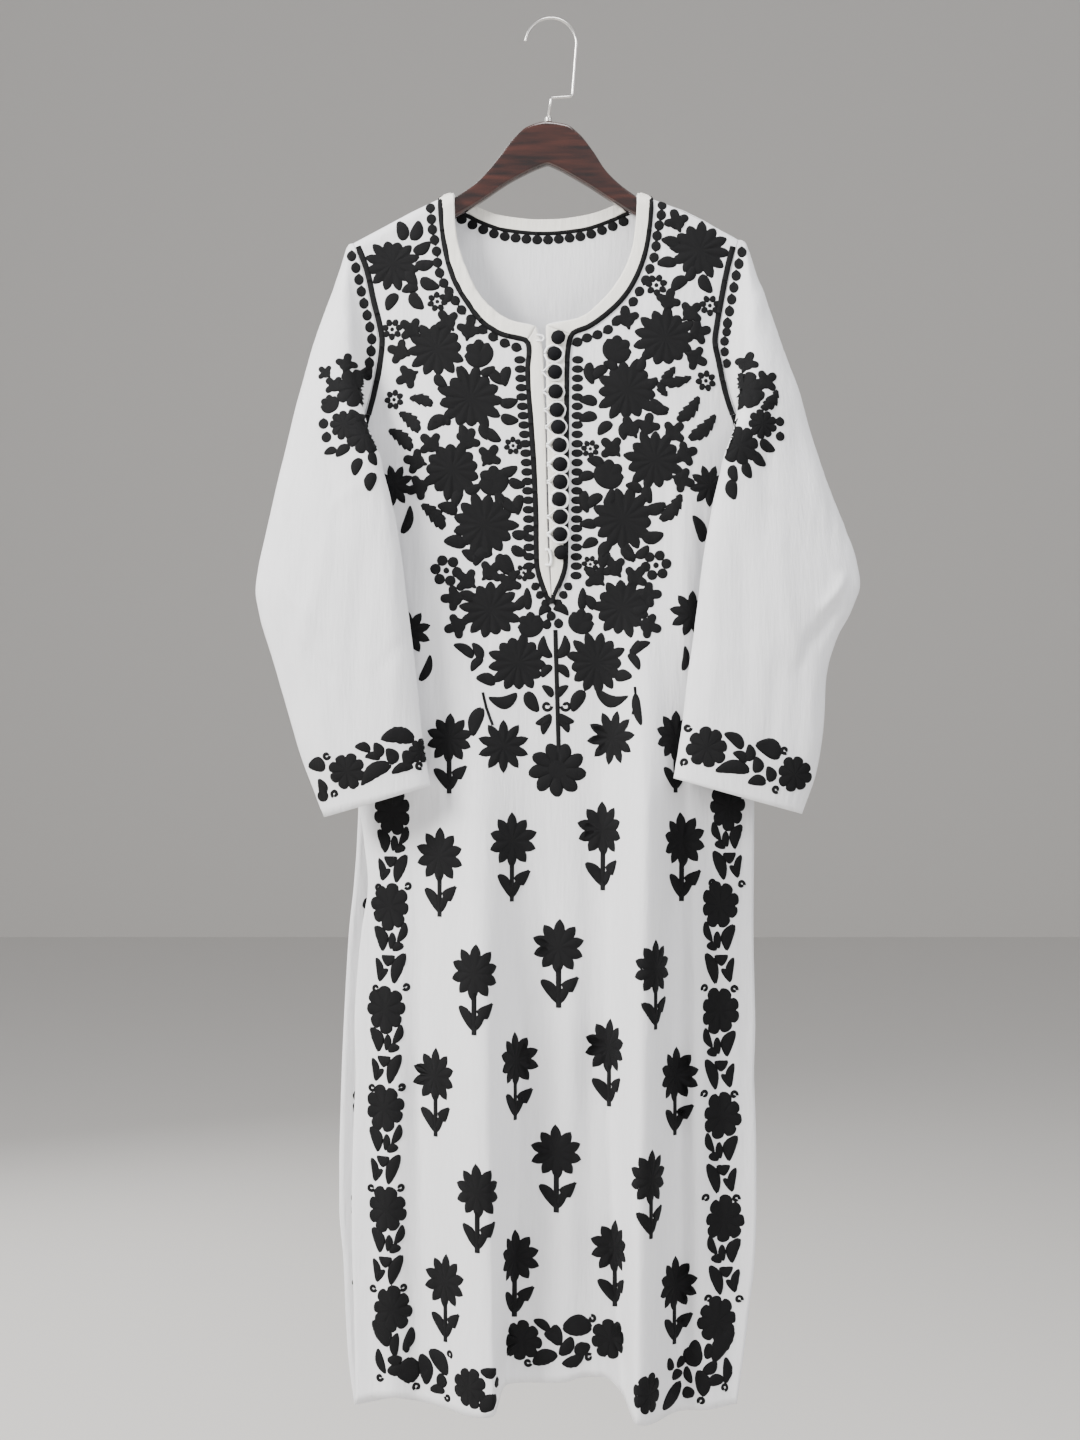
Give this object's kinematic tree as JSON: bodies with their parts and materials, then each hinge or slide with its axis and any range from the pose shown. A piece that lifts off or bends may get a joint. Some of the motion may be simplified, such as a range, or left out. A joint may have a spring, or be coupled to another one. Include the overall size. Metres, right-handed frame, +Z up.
{
  "type": "kurta tunic on a hanger",
  "caption": "Long white kurta tunic with black floral embroidery, button placket and side slits, on a dark wooden hanger.",
  "frame": {"origin": "underside of the hook's crown, where the hanger rests on a rail", "axes": "+Z up, -Y the front of the kurta, +X to the right of someone who looks at the front"},
  "size_m": [0.5684, 0.1166, 1.3336],
  "materials": {
    "white_cotton": "soft matte rayon cotton weave, embroidered in black thread",
    "black_cloth": "matte cloth over a round button",
    "dark_wood": "glossy dark brown lacquer",
    "nickel": "brushed nickel"
  },
  "bodies": {
    "root": {"front_panel": "white_cotton", "back_panel": "white_cotton", "sleeve_left": "white_cotton", "sleeve_right": "white_cotton", "neck_band_left": "white_cotton", "neck_band_right": "white_cotton", "neck_band_back": "white_cotton", "placket_left": "white_cotton", "placket_right": "white_cotton", "button_01": "black_cloth", "button_02": "black_cloth", "button_03": "black_cloth", "button_04": "black_cloth", "button_05": "black_cloth", "button_06": "black_cloth", "button_07": "black_cloth", "button_08": "black_cloth", "button_09": "black_cloth", "button_10": "black_cloth", "button_11": "black_cloth", "button_12": "black_cloth", "button_13": "black_cloth", "loop_01": "white_cotton", "loop_02": "white_cotton", "loop_03": "white_cotton", "loop_04": "white_cotton", "loop_05": "white_cotton", "loop_06": "white_cotton", "loop_07": "white_cotton", "loop_08": "white_cotton", "loop_09": "white_cotton", "loop_10": "white_cotton", "loop_11": "white_cotton", "loop_12": "white_cotton", "loop_13": "white_cotton", "hanger_bar": "dark_wood", "hanger_ferrule": "nickel", "hanger_hook": "nickel"}
  },
  "joints": []
}
